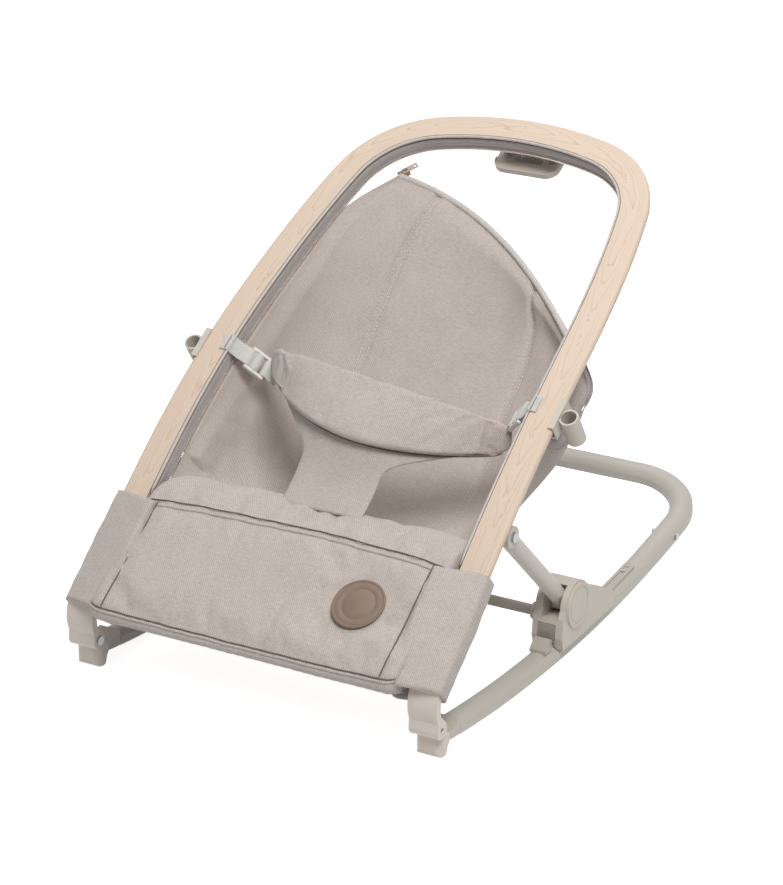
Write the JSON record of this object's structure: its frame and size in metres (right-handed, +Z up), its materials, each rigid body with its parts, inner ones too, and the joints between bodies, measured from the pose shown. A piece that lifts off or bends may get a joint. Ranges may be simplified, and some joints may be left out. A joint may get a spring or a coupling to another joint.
{
  "type": "bouncer seat",
  "caption": "Folding infant bouncer: curved rocker base, bent wooden hoop carrying a fabric seat with waist belt, padded front bolster, side props on a sliding carriage, and toy-bar sockets.",
  "frame": {"origin": "floor level under the middle of the outline box", "axes": "+Z up, +Y to the rear where the seat back leans, +X to the right seen from the front"},
  "size_m": [0.4518, 0.653, 0.4526],
  "materials": {
    "pale_tube": "satin powder coat",
    "moulding": "fine matte texture",
    "dark_moulding": "fine matte texture",
    "crossbar": "satin",
    "elbow": "smooth matte",
    "track": "matte",
    "wood": "clear satin over flat-sawn grain",
    "steel": "zinc plated",
    "greige_cloth": "twill weave",
    "tape": "woven tape",
    "webbing": "herringbone webbing",
    "buckle": "smooth",
    "patch": "smooth, edge stitched"
  },
  "bodies": {
    "base": {"rail_tube_left": "pale_tube", "rail_tube_right": "pale_tube", "rear_u_tube": "pale_tube", "splice_bolts": "steel", "front_plug_left": "moulding", "front_plug_right": "moulding", "foot_left": "elbow", "foot_right": "elbow", "pivot_pins": "steel", "track_strip_left": "track", "track_strip_right": "track", "strip_screws": "steel"},
    "seat": {"wooden_hoop": "wood", "elbow_left": "elbow", "elbow_right": "elbow", "elbow_screws": "steel", "prop_bracket_left": "moulding", "prop_bracket_right": "moulding", "prop_screws": "steel", "toy_bar_socket_left": "moulding", "toy_bar_socket_right": "moulding", "carry_handle": "moulding", "handle_screws": "steel", "handle_clip": "steel", "hoop_lining": "tape", "seat_shell": "greige_cloth", "seat_liner": "greige_cloth", "front_bolster": "greige_cloth", "leg_sleeve_left": "greige_cloth", "leg_sleeve_right": "greige_cloth", "waist_belt": "greige_cloth", "crotch_piece": "greige_cloth", "strap_left": "webbing", "strap_right": "webbing", "buckle_left": "buckle", "buckle_right": "buckle", "round_patch": "patch"},
    "slider": {"zip_slider": "steel"},
    "pull": {"zip_pull": "steel"},
    "props": {"prop_tube_left": "pale_tube", "prop_tube_right": "pale_tube", "prop_head_left": "moulding", "prop_head_right": "moulding", "prop_foot_left": "moulding", "prop_foot_right": "moulding"},
    "carriage": {"slide_housing_left": "moulding", "slide_housing_right": "moulding", "hinge_cover_left": "moulding", "hinge_cover_right": "moulding", "hinge_pins": "steel", "crossbar": "crossbar", "crossbar_collars": "moulding", "button_springs": "steel"},
    "button_left": {"release_button_left": "dark_moulding"},
    "button_right": {"release_button_right": "dark_moulding"}
  },
  "joints": [
    {"name": "seat_fold", "type": "hinge", "parent": "base", "child": "seat", "pos_m": [0, -0.29799, 0.03], "axis": [-1, 0, 0], "range_deg": [0, 30.5], "deforming": ["seat_shell", "seat_liner"]},
    {"name": "prop_fold", "type": "hinge", "parent": "seat", "child": "props", "pos_m": [0, -0.15301, 0.17022], "axis": [1, 0, 0], "range_deg": [0, 68.14]},
    {"name": "carriage_hinge", "type": "hinge", "parent": "props", "child": "carriage", "pos_m": [0, -0.02799, 0.05258], "axis": [-1, 0, 0], "range_deg": [0, 33.83]},
    {"name": "button_left_press", "type": "slide", "parent": "carriage", "child": "button_left", "axis": [0, 1, 0], "range_m": [0, 0.003], "stiffness_N_per_m": 400, "springref_m": -0.0005},
    {"name": "button_right_press", "type": "slide", "parent": "carriage", "child": "button_right", "axis": [0, 1, 0], "range_m": [0, 0.003], "stiffness_N_per_m": 400, "springref_m": -0.0005},
    {"name": "zip_slide", "type": "slide", "parent": "seat", "child": "slider", "axis": [0.6561, 0.6547, 0.3754], "range_m": [0, 0.03]},
    {"name": "pull_swing", "type": "hinge", "parent": "slider", "child": "pull", "pos_m": [-0.12315, 0.20406, 0.3919], "axis": [0.7547, -0.5691, -0.3263], "range_deg": [0, 90]}
  ],
  "couplings": [
    {"joint": "prop_fold", "follows": "seat_fold", "ratio": 2.2275},
    {"joint": "carriage_hinge", "follows": "seat_fold", "ratio": 1.1025}
  ]
}
